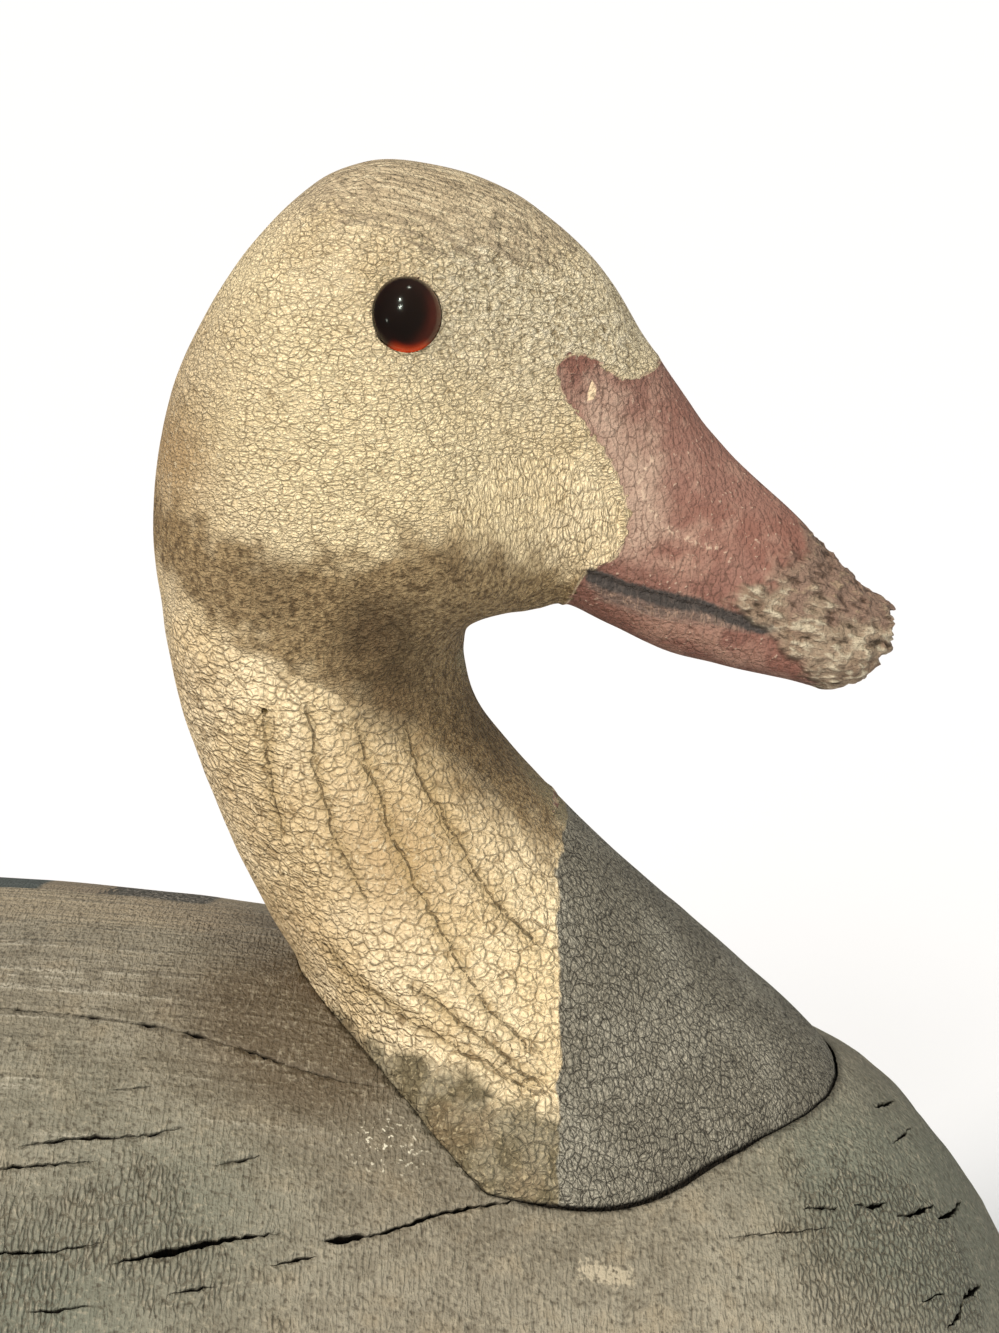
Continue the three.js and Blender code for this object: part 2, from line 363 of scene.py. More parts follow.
# Stations from inside the seat, round the throat, to the broken bill: inner edge forward
# and up, outer edge forward and up, half width, widest place between the edges,
# roundness towards the inner edge and towards the outer edge
HEAD_STATIONS = [
    [0.366, -0.278, -0.365, -0.147, 1.709, 0.3, 1.95, 1.25],
    [0.382, -0.166, -0.381, -0.035, 1.825, 0.3, 1.95, 1.25],
    [0.382, -0.11, -0.381, 0.021, 1.655, 0.28, 1.95, 1.4],
    [0.376, -0.064, -0.384, 0.066, 1.454, 0.2, 2, 1.55],
    [0.209, 0.077, -0.432, 0.15, 1.2, 0.1, 2, 1.75],
    [0.065, 0.191, -0.485, 0.251, 1, 0.05, 2, 1.8],
    [-0.038, 0.281, -0.536, 0.388, 0.873, 0, 2, 1.9],
    [-0.128, 0.378, -0.556, 0.496, 0.836, 0, 2, 2],
    [-0.148, 0.434, -0.563, 0.602, 0.855, -0.05, 2, 2.05],
    [-0.149, 0.462, -0.551, 0.693, 0.909, -0.1, 2.1, 2.1],
    [-0.142, 0.481, -0.513, 0.794, 0.982, -0.15, 2.2, 2.2],
    [-0.123, 0.492, -0.442, 0.897, 1.011, -0.15, 2.3, 2.3],
    [-0.088, 0.5, -0.338, 0.982, 0.978, -0.15, 2.4, 2.4],
    [-0.067, 0.501, -0.277, 1.004, 0.887, -0.15, 2.4, 2.4],
    [-0.046, 0.503, -0.204, 1.005, 0.764, -0.15, 2.4, 2.4],
    [-0.004, 0.505, -0.072, 0.967, 0.596, -0.2, 2.4, 2.3],
    [0.051, 0.479, 0.032, 0.889, 0.505, -0.25, 2.3, 2.15],
    [0.119, 0.451, 0.098, 0.804, 0.455, -0.35, 2.2, 1.95],
    [0.194, 0.434, 0.188, 0.699, 0.414, -0.45, 2.1, 1.8],
    [0.284, 0.415, 0.292, 0.612, 0.382, -0.5, 2, 1.8],
    [0.353, 0.403, 0.376, 0.539, 0.342, -0.4, 2, 1.9],
    [0.395, 0.413, 0.424, 0.507, 0.276, -0.2, 2, 2],
    [0.422, 0.442, 0.441, 0.493, 0.211, 0, 2, 2],
]

# Lines seen from the side, in mm forward and up. The bill's edge runs from the forehead
# round the paint's lobe to the chin, and its outline then goes well clear of the bill.
BILL_EDGE = [
    (190, 243), (185.6, 238.4), (179.7, 238), (177, 240), (172.2, 242), (169.7, 240.4),
    (170.4, 237), (174.9, 230.3), (179.6, 222.4), (181.2, 215.7), (179.6, 209.8), (174.4, 206.3),
    (172.2, 201.3), (170, 195),
]
PAST_BILL = [(170, 165), (270, 165), (270, 243)]
MOUTH_TOP = [
    (174.7, 207.9), (176.7, 207.4), (182, 205.3), (187.8, 203.9), (193.6, 202.3), (198, 200.4),
    (203.1, 198.9), (206.6, 196.8),
]
TORN_OUTLINE = [
    (214, 216), (210.6, 209.6), (208, 207.6), (205.2, 203.6), (201.9, 202.8), (197.4, 201.7),
    (201, 199.8), (205.3, 197.4), (207.4, 194.4), (209.9, 191.5), (212.4, 187.6), (212.5, 176),
    (250, 176), (250, 216),
]
NECK_FURROWS = [
    [(123.4, 187.6), (123.8, 180), (124.4, 172.5), (126.1, 163.9)],
    [(130.5, 189.7), (131.3, 180.2), (135.1, 165.4), (140.2, 155)],
    [
        (137.8, 187.8), (138.9, 181.2), (141.4, 173.6), (146.5, 161.1), (153, 149.6),
        (160.6, 138.8), (169.7, 132.2),
    ],
    [(144.8, 186), (147.4, 177.9), (152, 168.7), (158.6, 157.8), (164.6, 151), (168.8, 147.9)],
    [
        (131.1, 149.2), (135.9, 143.6), (142.2, 140.4), (149.5, 136.6), (158.6, 132.9),
        (168.2, 128),
    ],
    [(145.3, 144.9), (153.5, 139.3), (160.6, 134.8), (169.2, 128.3)],
]
FURROW_HALF = 1.3
FURROW_DEPTH = 0.5
FURROW_END = 0.12
FURROW_WAVER = (0.25, 3, 11)

# The eye's place, and how far round it the carver left the wood smooth
EYE_PLACE = (SEAT_ALONG - 0.213 * HEAD_REACH, SEAT_HEIGHT + 0.8555 * HEAD_RISE)
EYE_FLAT = 9

# Tool marks all over, the thick paint's rim along the bill's edge and the groove of the mouth
HEAD_MARKS = [(0.22, 14, 22), (0.1, 5, 23)]
RIM_HEIGHT = 0.25
RIM_HALF = 0.45
RIM_OUTSIDE = 0.5
MOUTH_DEPTH = 0.55
MOUTH_HALF = 0.6
MOUTH_END = 0.3
BELOW_MOUTH_TOP = (0, -1.6)

# The torn end: fibres and hollows over it, and teeth along the bill from where they begin
TORN_EDGE = (0.5, 2, 21)
TORN_FROM = (-0.6, 1.5)
TORN_MARKS = [(0.45, (4.5, 0.9, 0.9), 24), (0.27, (2, 0.7, 0.7), 25), (0.4, 3, 26)]
TORN_DEPTH = 0.35
TEETH = [(1.1, 1.5, 27), (0.6, 0.8, 28)]
TEETH_DEPTH = 0.5
TEETH_FROM = (217, 225)
TEETH_STRETCH = (0.12, 1, 1)
ALONG_BILL = np.array([0.93, 0, -0.36])


def head_surface(along, angle):
    """Points in mm on the head and neck. Past the last station the skin closes the end."""
    places = distances(HEAD_STATIONS, [0, 1, 2, 3, 4])
    at = np.minimum(along, 1) * places[-1]
    station = between(places, HEAD_STATIONS, at)
    in_x, in_z, out_x, out_z, half, widest, inward, outward = station.T
    out = np.cos(angle)
    exponent = np.where(out >= 0, outward, inward)
    reach = np.where(out >= 0, 1 - widest, 1 + widest)
    share = (1 + widest + reach * rounded(out, exponent)) / 2
    across = rounded(np.sin(angle), exponent) * half * HEAD_WIDTH / 2
    forward = in_x + (out_x - in_x) * share
    up = in_z + (out_z - in_z) * share
    closing = np.clip((along - 1) / END_CAP, 0, 1)
    forward += ((in_x + out_x) / 2 - forward) * closing
    up += ((in_z + out_z) / 2 - up) * closing
    return np.stack(
        [
            SEAT_ALONG + forward * HEAD_REACH,
            across * (1 - closing),
            SEAT_HEIGHT + up * HEAD_RISE,
        ],
        axis=1,
    )


def smooth_line(points, spacing=1.0):
    """A curve through points, cut into short steps."""
    points = np.array(points, float)
    places = distances(points, list(range(points.shape[1])))
    return between(places, points, np.linspace(0, places[-1], int(places[-1] / spacing) + 2))


def off_line(places, line):
    """Distance in mm to a line seen from the side, below 0 on one side of it, and the share
    of the line that is passed there."""
    flat = places[:, [0, 2]]
    nearest = np.full(len(flat), np.inf)
    passed = np.zeros(len(flat))
    for k, (a, b) in enumerate(zip(line[:-1], line[1:])):
        run = b - a
        share = np.clip((flat - a) @ run / (run @ run), 0, 1)
        off = flat - a - share[:, None] * run
        side = run[0] * off[:, 1] - run[1] * off[:, 0]
        gap = np.copysign(np.linalg.norm(off, axis=1), side)
        closer = np.abs(gap) < np.abs(nearest)
        nearest[closer] = gap[closer]
        passed[closer] = (k + share[closer]) / (len(line) - 1)
    return nearest, passed


def within(places, outline):
    """Distance in mm to a closed outline seen from the side, above 0 inside it."""
    outline = np.array(outline, float)
    loop = np.vstack([outline, outline[:1]])
    flat = places[:, [0, 2]]
    inside = np.zeros(len(flat), bool)
    for a, b in zip(loop[:-1], loop[1:]):
        spans = (a[1] > flat[:, 1]) != (b[1] > flat[:, 1])
        crossing = a[0] + (flat[:, 1] - a[1]) * (b[0] - a[0]) / (b[1] - a[1] + 1e-12)
        inside ^= spans & (flat[:, 0] < crossing)
    return np.where(inside, 1, -1) * np.abs(off_line(places, loop)[0])


def smooth_step(value, low, high):
    """Rises smoothly from 0 to 1 as the value goes from low to high."""
    share = np.clip((value - low) / (high - low), 0, 1)
    return share * share * (3 - 2 * share)


def furrow_share(places):
    """How deep in a furrow of the neck a point is, from 0 to 1."""
    share = np.zeros(len(places))
    for line in NECK_FURROWS:
        gap, passed = off_line(places, smooth_line(line))
        fades = smooth_step(passed, 0, FURROW_END) * smooth_step(1 - passed, 0, FURROW_END)
        wide = FURROW_HALF * (1 + uneven(places, [FURROW_WAVER]))
        share = np.maximum(share, np.exp(-((gap / wide) ** 2)) * fades)
    return share


head = carved_block(
    "carved_head_and_neck", head_surface, HEAD_RINGS, HEAD_SIDES, HEAD_RINGS_AT, HEAD_SIDES_AT
)
raw = vertex_places(head)
by_eye = np.hypot(raw[:, 0] - EYE_PLACE[0], raw[:, 2] - EYE_PLACE[1])
height = uneven(raw, HEAD_MARKS) * smooth_step(by_eye, EYE_FLAT - 2, EYE_FLAT + 6)
height -= FURROW_DEPTH * furrow_share(raw)
torn = within(raw, TORN_OUTLINE) + uneven(raw, [TORN_EDGE])
bill_outline = [*smooth_line(BILL_EDGE), *PAST_BILL]
off_rim = (within(raw, bill_outline) + RIM_OUTSIDE) / RIM_HALF
height += RIM_HEIGHT * np.exp(-(off_rim**2)) * smooth_step(-torn, 0, 2)
off_mouth, passed = off_line(raw, smooth_line(MOUTH_TOP) + BELOW_MOUTH_TOP)
fades = smooth_step(1 - passed, 0, MOUTH_END)
height -= MOUTH_DEPTH * np.exp(-((off_mouth / MOUTH_HALF) ** 2)) * fades
height += smooth_step(torn, *TORN_FROM) * (uneven(raw, TORN_MARKS) - TORN_DEPTH)
teeth = uneven(raw * TEETH_STRETCH, TEETH) - TEETH_DEPTH
teeth *= smooth_step(raw[:, 0], *TEETH_FROM)
set_places(head, raw + normals(head) * height[:, None] + teeth[:, None] * ALONG_BILL)

# Seam: the neck's foot sits in a recess 5 mm deep that follows its outline, and nothing
# that holds it there shows. The recess is tight behind and wider in front, where the two
# blocks have shrunk apart. The body is cut flat at the ground.
SEAT_DEPTH = 5
SEAM_BEHIND = 0.15
SEAM_IN_FRONT = 0.85
SEAM_UNDER = 0.3
SEAM_OPENS = (146, 180)
SEAM_NARROWS = (194, 208)
NARROWED = 0.6
BELOW_GROUND = {"size": 1, "location": (0, 0, -50), "scale": (700, 400, 100)}


def cut(piece, cutter):
    """Takes the cutter's room out of a piece and removes the cutter."""
    only(piece)
    away = piece.modifiers.new("cut", "BOOLEAN")
    away.operation = "DIFFERENCE"
    away.solver = "MANIFOLD"
    away.object = cutter
    bpy.ops.object.modifier_apply(modifier=away.name)
    bpy.data.objects.remove(cutter)


def grown(piece, distance):
    """A copy of a piece with its skin moved outward, or inward below 0."""
    other = piece.copy()
    other.data = piece.data.copy()
    bpy.context.scene.collection.objects.link(other)
    set_places(other, vertex_places(piece) + normals(piece) * np.reshape(distance, (-1, 1)))
    return other


def skin_of(piece):
    """A piece's skin as it is now, to find the nearest point on it later."""
    corners = [v.co for v in piece.data.vertices]
    return BVHTree.FromPolygons(corners, [p.vertices for p in piece.data.polygons])


body_skin = skin_of(body)
opened = smooth_step(raw[:, 0], *SEAM_OPENS) - NARROWED * smooth_step(raw[:, 0], *SEAM_NARROWS)
recess = grown(head, SEAM_BEHIND + (SEAM_IN_FRONT - SEAM_BEHIND) * opened)
cut(recess, grown(body, -SEAT_DEPTH))

bpy.ops.object.select_all(action="DESELECT")
bpy.ops.mesh.primitive_cube_add(**BELOW_GROUND)
below_ground = bpy.context.object
bpy.ops.object.transform_apply(location=True, rotation=True, scale=True)
cut(head, grown(body, SEAM_UNDER - SEAT_DEPTH))
cut(body, below_ground)
cut(body, recess)
head_skin = skin_of(head)

# Glass eyes: a low dome of clear dark amber glass, pressed in a socket on each side of the
# head and looking a little ahead and up. A brown iris with a black pupil is painted on its
# back.
EYE_DIAMETER = 11.8
EYE_DOME = 3.5
GLASS_BACK = 1.0
EYE_SINK = 0.45
SOCKET_GAP = 0.1
LOOK_AHEAD = math.radians(35)
LOOK_UP = math.radians(9)
IRIS_DEPTH = 0.35
IRIS_THICKNESS = 0.4
IRIS_SHARE = 0.965
PUPIL_DIAMETER = 7.4
PUPIL_BEHIND = 0.9
PUPIL_UP = 0.4
# Painted light on the iris: where the lit red edge and the lit side begin and are full
GLOW_FROM = (3.6, 5.2)
GLOW_LOW = (0.7, 0.98)
LIT_SIDE_FROM = (0.5, 5)
EYE_SIDES = 96
EYE_RINGS = 64
IOR_OF_GLASS = 1.5


def eye_ball(name):
    bpy.ops.object.select_all(action="DESELECT")
    bpy.ops.mesh.primitive_uv_sphere_add(
        segments=EYE_SIDES, ring_count=EYE_RINGS, radius=EYE_DIAMETER / 2
    )
    piece = bpy.context.object
    piece.name = name
    return piece, vertex_places(piece)


def set_in_head(piece, ball, side):
    """Turns a ball's points the way that the eye looks and puts them in its place."""
    start = Vector((EYE_PLACE[0], side * HEAD_WIDTH * 2, EYE_PLACE[1]))
    on_head = head_skin.ray_cast(start, Vector((0, -side, 0)))[0]
    level = math.cos(LOOK_UP)
    facing = Vector(
        (math.sin(LOOK_AHEAD) * level, side * math.cos(LOOK_AHEAD) * level, math.sin(LOOK_UP))
    )
    turn = np.array(facing.to_track_quat("Z", "Y").to_matrix())
    set_places(piece, ball @ turn.T + np.array(on_head - facing * EYE_SINK))
    bpy.ops.object.shade_smooth()


def glass_eye(side, name):
    """A ball pressed flat behind and low in front."""
    dome, ball = eye_ball(name)
    radius = EYE_DIAMETER / 2
    front = ball[:, 2] > 0
    across = np.hypot(ball[:, 0], ball[:, 1])
    fuller = np.maximum(1 - (np.abs(ball[:, 2]) / radius) ** 8, 0) ** 0.5
    ratio = np.where(front | (across < 1e-6), 1, radius * fuller / np.maximum(across, 1e-6))
    ball[:, :2] *= ratio[:, None]
    ball[:, 2] *= np.where(front, EYE_DOME / radius, GLASS_BACK / radius)
    set_in_head(dome, ball, side)
    return dome


def add_marks(piece, marks):
    """Stores values by name on a piece's points, for its material."""
    for name, values in marks.items():
        layer = piece.data.attributes.new(name, "FLOAT", "POINT")
        layer.data.foreach_set("value", values)


def iris_disc(side, name):
    """A ball pressed flat inside the glass, marked with the pupil and with painted light: the lit
    lower edge and a lit side.
    """
    disc, ball = eye_ball(name)
    across = np.hypot(ball[:, 0], ball[:, 1])
    lowness = -ball[:, 1] / np.maximum(across, 1e-6)
    off_pupil = np.hypot(ball[:, 0] - PUPIL_BEHIND * side, ball[:, 1] - PUPIL_UP)
    marks = {
        "glow": smooth_step(across, *GLOW_FROM) * smooth_step(lowness, *GLOW_LOW),
        "pupil": smooth_step(off_pupil, PUPIL_DIAMETER / 2 + 1, PUPIL_DIAMETER / 2 - 1),
        "lit_side": smooth_step(ball[:, 0] * -side - 0.5 * ball[:, 1], *LIT_SIDE_FROM),
    }
    add_marks(disc, marks)
    ball[:, 2] = np.minimum(ball[:, 2], 0) * IRIS_THICKNESS * 2 / EYE_DIAMETER - IRIS_DEPTH
    set_in_head(disc, ball * (IRIS_SHARE, IRIS_SHARE, 1), side)
    return disc


def amount(tree, *factors):
    """The product of its factors. A factor is a number, a node's output, the name of a mark
    on the piece, or one of these with the two ends between which it turns from 0 to 1."""
    total = None
    for factor in factors:
        if isinstance(factor, tuple):
            value, low, high = factor
            ends = {"Value": amount(tree, value), "From Min": low, "From Max": high}
            factor = node(tree, "ShaderNodeMapRange", ends, interpolation_type="SMOOTHSTEP")
        elif isinstance(factor, str):
            factor = node(tree, "ShaderNodeAttribute", {}, out="Fac", attribute_name=factor)
        if total is not None:
            factor = node(tree, "ShaderNodeMath", {0: total, 1: factor}, operation="MULTIPLY")
        total = factor
    return total


def layered(tree, *layers):
    """Paints colours over one another. Each layer is its colour and the factors of how much
    of it there is, and the first one covers all."""
    total = None
    for colour, *factors in layers:
        colour = rgb(colour) if isinstance(colour, str) else colour
        if total is not None:
            share = {0: amount(tree, *factors), 6: total, 7: colour}
            colour = node(tree, "ShaderNodeMix", share, out=2, data_type="RGBA")
        total = colour
    return total


# The glass is clear and polished, so it mirrors small sharp lights and shows the iris
glass, tree = new_material("polished_amber_glass")
coat(
    tree,
    {
        "Base Color": rgb("d8a184"),
        "Roughness": 0.14,
        "IOR": IOR_OF_GLASS,
        "Transmission Weight": 1.0,
    },
)

# The iris is dull paint. Its glow and its lit side are painted light: they stand for the light that
# the dome gathers on it, which the eye sees as a red edge below and a lighter red brown to one side.
iris, tree = new_material("painted_iris")
coat(
    tree,
    {
        "Base Color": layered(
            tree, ["2c1413"], ["8a4a40", "lit_side"], ["070404", "pupil"], ["f0521e", "glow"]
        ),
        "Roughness": 0.5,
        "Emission Color": layered(tree, ["000000"], ["f25a20", "glow"]),
        "Emission Strength": 0.6,
    },
)
for side, word in ((-1, "right"), (1, "left")):
    dome = glass_eye(side, f"glass_eye_{word}")
    disc = iris_disc(side, f"painted_iris_{word}")
    cut(head, grown(dome, SOCKET_GAP))
    for piece, material in ((dome, glass), (disc, iris)):
        piece.data.materials.append(material)
        set_places(piece, vertex_places(piece) * MM)
        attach(piece, "root")
    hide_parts(f"eye_{word}")

# Hole in the neck: a small round hole in the wood, at the top of the rearmost furrow. It
# goes in by half its width.
HOLE_FROM = Vector((123.5, -300, 186.4))
HOLE_RADIUS = 0.6

on_neck = head_skin.ray_cast(HOLE_FROM, Vector((0, 1, 0)))[0]
bpy.ops.object.select_all(action="DESELECT")
bpy.ops.mesh.primitive_uv_sphere_add(
    segments=16, ring_count=10, radius=HOLE_RADIUS, location=on_neck
)
hole = bpy.context.object
bpy.ops.object.transform_apply(location=True, rotation=False, scale=False)
cut(head, hole)

# Drying cracks: the body's wood has split along its grain as it dried. Each crack is cut as
# a wedge that is ragged along its sides and closes downwards and towards both ends.
CRACK_STEP = 0.9
CRACK_SEED = 5
RAGGED_WIDTH = (0.45, 1.2)
RAGGED_MIDDLE = (-0.22, 0.22)
ABOVE_SKIN = 0.6

# Line of each crack on the skin in mm, its width and its depth
CRACKS = [
    ([(70, -27, 139), (92.7, -27.9, 137), (106.7, -28.9, 135.3), (119.2, -31.3, 132.7)], 0.35, 2),
    ([(119, -31.2, 132.7), (126.1, -33.1, 130.9), (134, -34.4, 129), (142, -34, 127.6)], 0.35, 2),
    ([(81.5, -27.4, 138), (87, -27.6, 137.6)], 1.0, 5),
    ([(92, -27.8, 137), (97.6, -28.2, 136.5)], 1.2, 6),
    ([(101, -28.5, 136), (107.6, -29, 135.2)], 1.5, 7),
    ([(109.8, -29.3, 134.8), (114.2, -30, 134)], 1.4, 7),
    ([(118.6, -31.2, 132.9), (126.4, -33.2, 130.8)], 1.1, 6),
    ([(130, -33.9, 129.9), (134.6, -34.3, 128.9)], 0.7, 4),
    ([(88, -57, 128), (97, -54.5, 128), (106.5, -52.5, 127.5), (112, -50, 127.9)], 1, 8),
    ([(70, -63, 126), (85.8, -60.8, 126.2), (100, -58, 126)], 0.8, 7),
    ([(117.6, -55.5, 124.3), (124, -52.5, 124.3)], 0.6, 4),
    ([(104, -72.5, 116.8), (108.6, -71.2, 117.2), (117.1, -68.1, 117.5), (128, -64, 117.2)], 1.1, 10),
    ([(107, -71.8, 117.1), (113, -69.6, 117.3), (119, -67.4, 117.4)], 1.5, 9),
    ([(134.5, -63.8, 115.7), (139.7, -61.9, 115.6), (153, -54.6, 115.8), (166, -49, 115.4)], 0.8, 9),
    ([(134.5, -63.8, 115.7), (141, -61.3, 115.7)], 1.7, 8),
    ([(144, -59.8, 115.7), (152, -55.2, 115.8)], 1.0, 7),
    ([(126.8, -69, 114.4), (133.6, -66.2, 114.8)], 0.7, 5),
    ([(70, -76, 118), (87.7, -73, 118.7), (94.8, -72, 118.4), (102.5, -70, 119)], 0.8, 6),
    ([(100.4, -44.6, 131.4), (106.4, -43, 131.4)], 0.5, 3),
    ([(112.5, -75.5, 113.5), (119, -73.3, 113.4)], 0.6, 3),
    ([(93, -80.1, 112.8), (102, -78.3, 112.9)], 0.6, 3),
    ([(209.1, -41.3, 109.6), (215, -39.2, 108.9)], 0.7, 4),
    ([(217.7, -37, 108.3), (220.5, -35.6, 107), (224, -33.2, 107)], 0.9, 5),
    ([(225.1, -34.6, 104.9), (228, -31.4, 103.6), (233, -25.5, 102.6)], 1.1, 6),
    ([(232.8, -27.6, 100.9), (236, -21.5, 98.6), (240, -13.5, 97.4)], 1.2, 6),
    ([(224.7, -10, 112.8), (226.6, -6.5, 111.6), (230.3, 0.2, 109.8)], 0.9, 4),
    ([(226.7, -18, 109.7), (231.6, -7, 107.6)], 0.6, 3),
    ([(235.6, -38, 92), (240.4, -30, 90.2)], 1.3, 6),
    ([(231.2, -45.4, 90.6), (234.2, -40.6, 90.5), (235.9, -38, 92.2)], 1.0, 5),
    ([(227, -45, 95), (231, -40.4, 93.8)], 0.5, 3),
    ([(196.7, -49, 108.7), (206, -46, 108.2), (214.2, -42.6, 107.1)], 0.35, 2),
]


def wedge(line, width, depth, random):
    """A closed wedge along a line on the body's skin, ragged, and thin at both ends."""
    spine = smooth_line(line, CRACK_STEP)
    count = len(spine)
    corners, faces = [], []
    for k, point in enumerate(spine):
        on_skin, normal, _, _ = body_skin.find_nearest(Vector(point))
        ahead = Vector(spine[min(k + 1, count - 1)] - spine[max(k - 1, 0)]).normalized()
        across = normal.cross(ahead).normalized()
        taper = math.sin(math.pi * (k + 0.25) / (count - 0.5)) ** 0.6
        half = width / 2 * taper * random.uniform(*RAGGED_WIDTH)
        middle = on_skin + across * random.uniform(*RAGGED_MIDDLE)
        rim = middle + normal * ABOVE_SKIN
        widened = across * half * (1 + ABOVE_SKIN / depth)
        corners += [rim + widened, rim - widened, middle - normal * depth * taper]
    last = 3 * (count - 1)
    for a in range(0, last, 3):
        faces += [(a + i, a + j, a + 3 + j, a + 3 + i) for i, j in ((0, 1), (1, 2), (2, 0))]
    faces += [(2, 1, 0), (last, last + 1, last + 2)]
    mesh = bpy.data.meshes.new("crack")
    mesh.from_pydata([tuple(c) for c in corners], [], faces)
    crack = bpy.data.objects.new("crack", mesh)
    bpy.context.scene.collection.objects.link(crack)
    face_outwards(crack)
    return crack


random = np.random.default_rng(CRACK_SEED)
for line, width, depth in CRACKS:
    cut(body, wedge(line, width, depth, random))

# Paint on the body: thin grey-brown oil paint brushed on round the body, matt with age and
# without a shine. It has flaked in upright scales, is brown beside the neck and greenish
# low in front, and the weathered grain shows through as pale lines along the back.
ROUGHNESS_OF_OLD_PAINT = 0.6
IOR_OF_PAINT = 1.48

# Depth of the paint's relief, and the radius that turns an angle round the body to mm
BODY_RELIEF = 0.34
GIRTH_RADIUS = 75
LEAST_FLAKING = 0.25

# Cracked paint: how fast its cells bend, how unevenly they lie, and the width and the
# share of the height of their curled edges
CELL_BEND = 0.45
CELL_UNEVEN = 0.85
CURL_WIDTH = 0.42
CURL_SHARE = 0.55

# Soft round stains and flaked places: place in mm, radius and strength
BODY_STAINS = {
    "brown": [
        (136, -24.5, 131.5, 20, 0.95), (119, -17, 135.6, 15, 0.7), (130, -31, 131, 12, 0.9),
        (132, 20, 131, 18, 0.7), (150, -58, 112, 16, 0.25),
    ],
    "dull": [
        (231, -35, 99, 22, 0.9), (217, -32, 110, 16, 0.7), (240, -5, 95, 30, 0.9),
        (115, -61, 121, 16, 0.5), (88, -75, 115, 14, 0.4), (150, -30, 122, 8, 0.5),
        (72, -88, 104, 16, 0.8), (90, -45, 132, 16, 0.35), (113, -62, 122, 16, 0.2),
        (100, -85, 104, 12, 0.5), (88, -86, 105, 30, 0.6),
    ],
    "flaked": [
        (222, -40, 106, 15, 1.0), (232, -38, 97, 12, 0.9), (214, -52, 100, 12, 0.6),
        (106, -66, 122, 14, 0.7), (84, -76, 114, 16, 0.8), (120, -78, 110, 12, 0.5),
    ],
}

# A chip down to the pale ground, and a few specks of cream paint beside the neck
PALE_CHIP = [(174, -57.5, 107.6), (177, -58, 107), (180, -58, 107.2)]
CHIP_HALF = 1.6
PALE_SPECKS = (143, -45, 122)
SPECKS_RADIUS = 9

# Where wear, dirt and painted light and shade begin and where they are full, in mm: the grain on top
# of the back, painted light on the ridge on its far side, the worn strip beyond that and painted
# shade with dirt beside the seam
TOP_UP = (121, 134)
LIT_RIDGE_ACROSS = (2, 12)
LIT_RIDGE_ALONG = (124, 108)
STRIP_ACROSS = [(26.5, 28), (64, 52)]
STRIP_ALONG = [(20, 45), (109, 106)]
SEAM_SHADE_ALONG = (166, 150)


def spots(place, stains):
    """How strong soft round stains are at each point. A stain given by two places is seen
    from the side and goes through to the other side."""
    total = np.zeros(len(place))
    for *middle, radius, strength in stains:
        own = place if len(middle) == 3 else place[:, [0, 2]]
        gap = np.linalg.norm(own - np.array(middle), axis=1)
        total += strength * np.exp(-((gap / radius) ** 2))
    return np.clip(total, 0, 1)


def off_skin(place, skin):
    """Distance in mm to a skin."""
    return np.array([skin.find_nearest(Vector(p))[3] for p in place])


def in_mm(tree):
    """The piece's own coordinates in mm."""
    own = node(tree, "ShaderNodeTexCoord", {}, out="Object")
    return node(tree, "ShaderNodeVectorMath", {0: own, "Scale": 1 / MM}, operation="SCALE")


def grain(tree, place, size, detail=2):
    """Random values whose size in mm may differ along, across and up."""
    scaled = node(tree, "ShaderNodeVectorMath", {0: place, 1: size}, operation="DIVIDE")
    return node(tree, "ShaderNodeTexNoise", {"Vector": scaled, "Scale": 1, "Detail": detail})


def summed(tree, start, *terms):
    """Adds to a start some terms, each a weight and the factors that it multiplies."""
    for weight, *factors in terms:
        parts = {0: amount(tree, *factors), 1: weight, 2: start}
        start = node(tree, "ShaderNodeMath", parts, operation="MULTIPLY_ADD")
    return start


def ragged(tree, value, rough, swing, low, high):
    """Turns from 0 to 1 between two ends, with an edge that random values break up."""
    moved = summed(tree, -swing, (2 * swing, rough), (1, value))
    return amount(tree, (moved, low, high))


def crackle(tree, place, cell, line, wander):
    """Cracks between cells of dried paint: how much of a crack there is, and the height of
    the cells, whose edges curl down."""
    bent = {"Vector": place, "Scale": CELL_BEND, "Detail": 1}
    bent = node(tree, "ShaderNodeTexNoise", bent, out=None)
    moved = {0: bent.outputs["Color"], 1: (wander, wander, wander), 2: place}
    moved = node(tree, "ShaderNodeVectorMath", moved, operation="MULTIPLY_ADD")
    scaled = node(tree, "ShaderNodeVectorMath", {0: moved, 1: cell}, operation="DIVIDE")
    cells = {"Vector": scaled, "Scale": 1, "Randomness": CELL_UNEVEN}
    edge = node(tree, "ShaderNodeTexVoronoi", cells, feature="DISTANCE_TO_EDGE")
    cracks = amount(tree, (edge, amount(tree, bent.outputs[0], 2 * line), 0.0))
    dropped = (1 - CURL_SHARE, (edge, 0.0, 2 * line))
    curled = (CURL_SHARE, (edge, 0.0, CURL_WIDTH))
    return cracks, summed(tree, 0.0, dropped, curled)


def painted(tree, colour, height, relief):
    """A coat of old oil paint, its colour and its height, with the relief in mm."""
    raised = {"Height": height, "Distance": relief * MM}
    coat(
        tree,
        {
            "Base Color": colour,
            "Roughness": ROUGHNESS_OF_OLD_PAINT,
            "IOR": IOR_OF_PAINT,
            "Normal": node(tree, "ShaderNodeBump", raised, out="Normal"),
        },
    )


